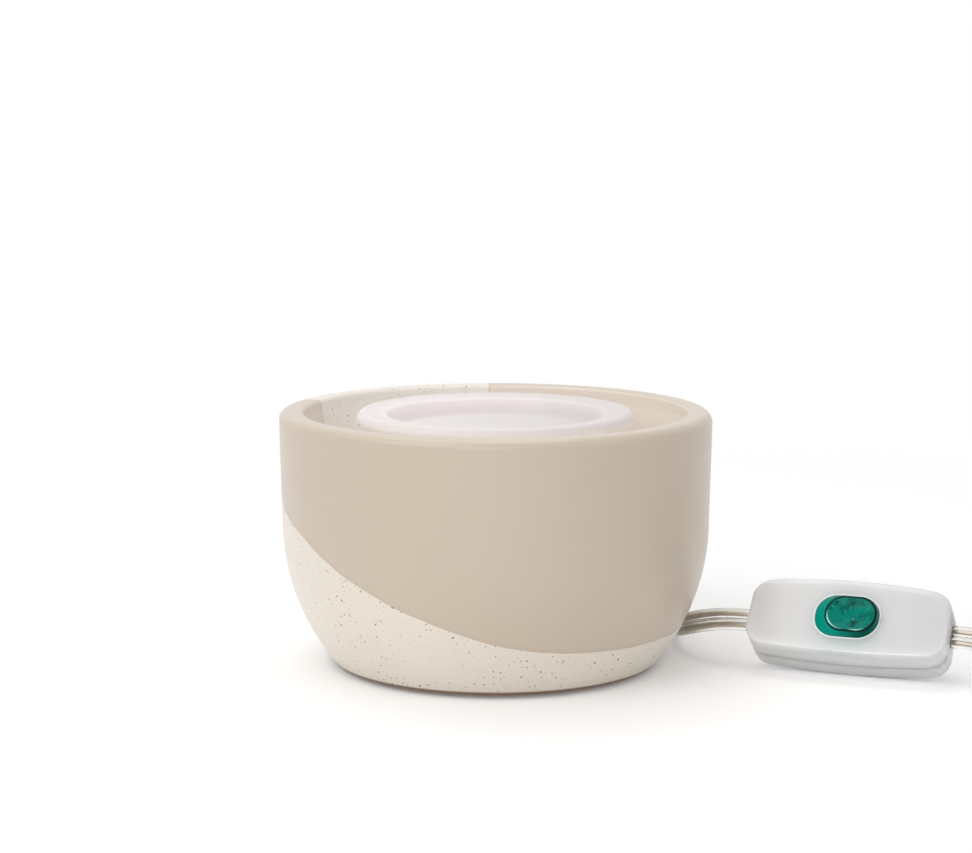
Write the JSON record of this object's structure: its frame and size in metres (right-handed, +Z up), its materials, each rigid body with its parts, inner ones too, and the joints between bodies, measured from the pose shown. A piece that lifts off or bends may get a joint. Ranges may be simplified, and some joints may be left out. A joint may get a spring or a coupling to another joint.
{
  "type": "wax melt warmer",
  "caption": "Round ceramic wax melt warmer with a lift-out silicone dish on a heating plate, and a flat clear lead with an in-line push-button switch and two-pin plug.",
  "frame": {"origin": "on the table, under the centre of the ceramic bowl, at the bottom of the rubber feet", "axes": "+Z up out of the bowl, +Y towards the back where the lead leaves the bowl, +X to the right as the part is looked at from its front"},
  "size_m": [0.3814, 0.2123, 0.0748],
  "materials": {
    "glazed_stoneware": "two satin glazes, taupe over a speckled cream that shows below a wavy line",
    "silicone": "soft translucent pinkish white, matt",
    "plate_aluminium": "turned, fine rings",
    "fibre_gasket": "pressed ceramic fibre",
    "mica": "thin layered sheet with a dull sheen",
    "resistance_alloy": "dull flat wire",
    "zinc_steel": "bright zinc plate",
    "screw_steel": "nickel plate",
    "steatite": "unglazed white",
    "base_plastic": "moulded, fine grain",
    "foot_rubber": "matt dark",
    "lead_plastic": "clear soft sleeve over bright stranded cores",
    "bushing_rubber": "soft milky clear",
    "wire_sleeve": "woven glass sleeve",
    "housing_plastic": "satin milky white, a little see-through",
    "button_plastic": "deep green, soft sheen",
    "board_laminate": "green laminate",
    "part_plastic": "black moulded",
    "led_lens": "clear",
    "capacitor_case": "dipped red-brown",
    "copper": "bright copper strands",
    "blade_brass": "nickel-washed brass"
  },
  "bodies": {
    "root": {"ceramic_bowl": "glazed_stoneware", "heating_plate": "plate_aluminium", "plate_gasket": "fibre_gasket", "mica_upper_sheet": "mica", "heater_ribbon": "resistance_alloy", "mica_lower_sheet": "mica", "insulation_felt": "fibre_gasket", "support_bracket": "zinc_steel", "clamp_screws": "screw_steel", "bracket_pads": "fibre_gasket", "support_posts": "zinc_steel", "heater_terminals": "screw_steel", "terminal_beads": "steatite", "thermal_fuse": "screw_steel", "fuse_clip": "zinc_steel", "crimp_sleeves": "screw_steel", "neutral_wire": "wire_sleeve", "line_wire": "wire_sleeve", "link_wire": "wire_sleeve", "base_cover": "base_plastic", "cover_screws": "screw_steel", "rubber_feet": "foot_rubber", "cord_clamp_bar": "base_plastic", "cord_clamp_screws": "screw_steel", "cord_bushing": "bushing_rubber", "inner_lead": "lead_plastic", "lead_to_switch": "lead_plastic", "lead_to_coil": "lead_plastic", "lead_coil": "lead_plastic", "lead_to_plug": "lead_plastic", "plug_body": "bushing_rubber", "plug_blades": "blade_brass", "switch_face_shell": "housing_plastic", "switch_rear_shell": "housing_plastic", "shell_screws": "screw_steel", "push_switch": "part_plastic", "switch_board": "board_laminate", "indicator_led": "led_lens", "timer_chip": "part_plastic", "triac": "part_plastic", "film_capacitor": "capacitor_case", "dropper_resistor": "base_plastic", "switch_lead_ends": "lead_plastic", "switch_core_tails": "copper"},
    "dish": {"silicone_dish": "silicone"},
    "push_button": {"button": "button_plastic", "switch_plunger": "housing_plastic"}
  },
  "joints": [
    {"name": "dish_lift", "type": "slide", "parent": "root", "child": "dish", "axis": [0, 0, 1], "range_m": [0, 0.06]},
    {"name": "button_press", "type": "slide", "parent": "root", "child": "push_button", "axis": [0.2795, 0.7132, -0.6428], "range_m": [0, 0.0018], "stiffness_N_per_m": 400, "springref_m": -0.001}
  ]
}
